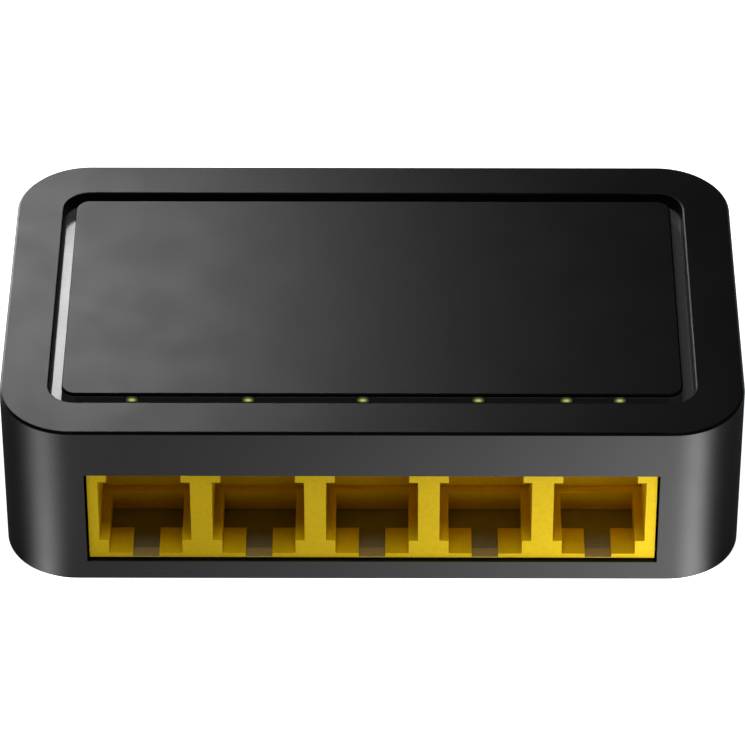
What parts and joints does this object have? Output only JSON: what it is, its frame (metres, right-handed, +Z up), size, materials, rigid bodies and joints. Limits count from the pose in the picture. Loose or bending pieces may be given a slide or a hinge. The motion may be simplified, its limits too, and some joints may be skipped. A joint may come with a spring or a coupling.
{
  "type": "desktop network switch",
  "caption": "Small desktop network switch with a row of network sockets in front, status lamps in a groove on top and a power inlet at the back.",
  "frame": {"origin": "middle of the footprint, on the surface that the feet stand on", "axes": "+X to the right seen from the sockets, +Y to the back, +Z up; the sockets face -Y"},
  "size_m": [0.0954, 0.0574, 0.0258],
  "materials": {
    "housing_black": "finely textured matte top, satin walls",
    "panel_black": "finely textured matte",
    "smoked_gloss": "polished smoked plastic",
    "guide_clear": "clear moulded plastic",
    "base_black": "fine spark texture",
    "foot_rubber": "matte",
    "screw_steel": "zinc plated",
    "board_green": "solder mask",
    "jack_yellow": "satin moulded plastic",
    "contact_gold": "gold plated spring wire",
    "lamp_lens": "clear resin",
    "chip_black": "moulded resin",
    "solder_tin": "tinned",
    "can_metal": "drawn can",
    "ferrite_grey": "ferrite",
    "sleeve_blue": "shrunk sleeve",
    "fuse_green": "laminate",
    "ceramic_tan": "fired ceramic with tinned ends",
    "resistor_black": "glazed film with tinned ends",
    "inlet_black": "moulded",
    "contact_nickel": "nickel plated"
  },
  "bodies": {
    "case": {"upper_housing": "housing_black", "groove_tray": "smoked_gloss", "centre_panel": "panel_black", "light_guide": "guide_clear", "base_plate": "base_black", "rubber_feet": "foot_rubber", "case_screws": "screw_steel", "circuit_board": "board_green", "jack_housing": "jack_yellow", "port_1_leads": "contact_gold", "port_2_leads": "contact_gold", "port_3_leads": "contact_gold", "port_4_leads": "contact_gold", "port_5_leads": "contact_gold", "status_leds": "lamp_lens", "switch_chip": "chip_black", "switch_chip_pins": "solder_tin", "crystal": "can_metal", "magnetics_modules": "chip_black", "magnetics_pins": "solder_tin", "memory_chip": "chip_black", "regulator_chip": "chip_black", "chip_legs": "solder_tin", "power_inductor": "ferrite_grey", "filter_capacitors": "can_metal", "capacitor_sleeves": "sleeve_blue", "input_diode": "chip_black", "input_fuse": "fuse_green", "ceramic_capacitors": "ceramic_tan", "chip_resistors": "resistor_black", "dc_jack_body": "inlet_black", "dc_jack_pin": "contact_nickel", "dc_jack_terminals": "solder_tin"},
    "port_1_wires": {"port_1_contacts": "contact_gold"},
    "port_2_wires": {"port_2_contacts": "contact_gold"},
    "port_3_wires": {"port_3_contacts": "contact_gold"},
    "port_4_wires": {"port_4_contacts": "contact_gold"},
    "port_5_wires": {"port_5_contacts": "contact_gold"},
    "inlet_leaf": {"dc_jack_leaf": "contact_nickel"}
  },
  "joints": [
    {"name": "port_1_wire_flex", "type": "hinge", "parent": "case", "child": "port_1_wires", "pos_m": [-0.0292, -0.02608, 0.01723], "axis": [1, 0, 0], "range_deg": [0, 12], "stiffness_Nm_per_rad": 0.25},
    {"name": "port_2_wire_flex", "type": "hinge", "parent": "case", "child": "port_2_wires", "pos_m": [-0.0146, -0.02608, 0.01723], "axis": [1, 0, 0], "range_deg": [0, 12], "stiffness_Nm_per_rad": 0.25},
    {"name": "port_3_wire_flex", "type": "hinge", "parent": "case", "child": "port_3_wires", "pos_m": [0, -0.02608, 0.01723], "axis": [1, 0, 0], "range_deg": [0, 12], "stiffness_Nm_per_rad": 0.25},
    {"name": "port_4_wire_flex", "type": "hinge", "parent": "case", "child": "port_4_wires", "pos_m": [0.0146, -0.02608, 0.01723], "axis": [1, 0, 0], "range_deg": [0, 12], "stiffness_Nm_per_rad": 0.25},
    {"name": "port_5_wire_flex", "type": "hinge", "parent": "case", "child": "port_5_wires", "pos_m": [0.0292, -0.02608, 0.01723], "axis": [1, 0, 0], "range_deg": [0, 12], "stiffness_Nm_per_rad": 0.25},
    {"name": "inlet_leaf_flex", "type": "hinge", "parent": "case", "child": "inlet_leaf", "pos_m": [0.03, 0.0187, 0.00753], "axis": [-1, 0, 0], "range_deg": [0, 3.5], "stiffness_Nm_per_rad": 0.2}
  ]
}
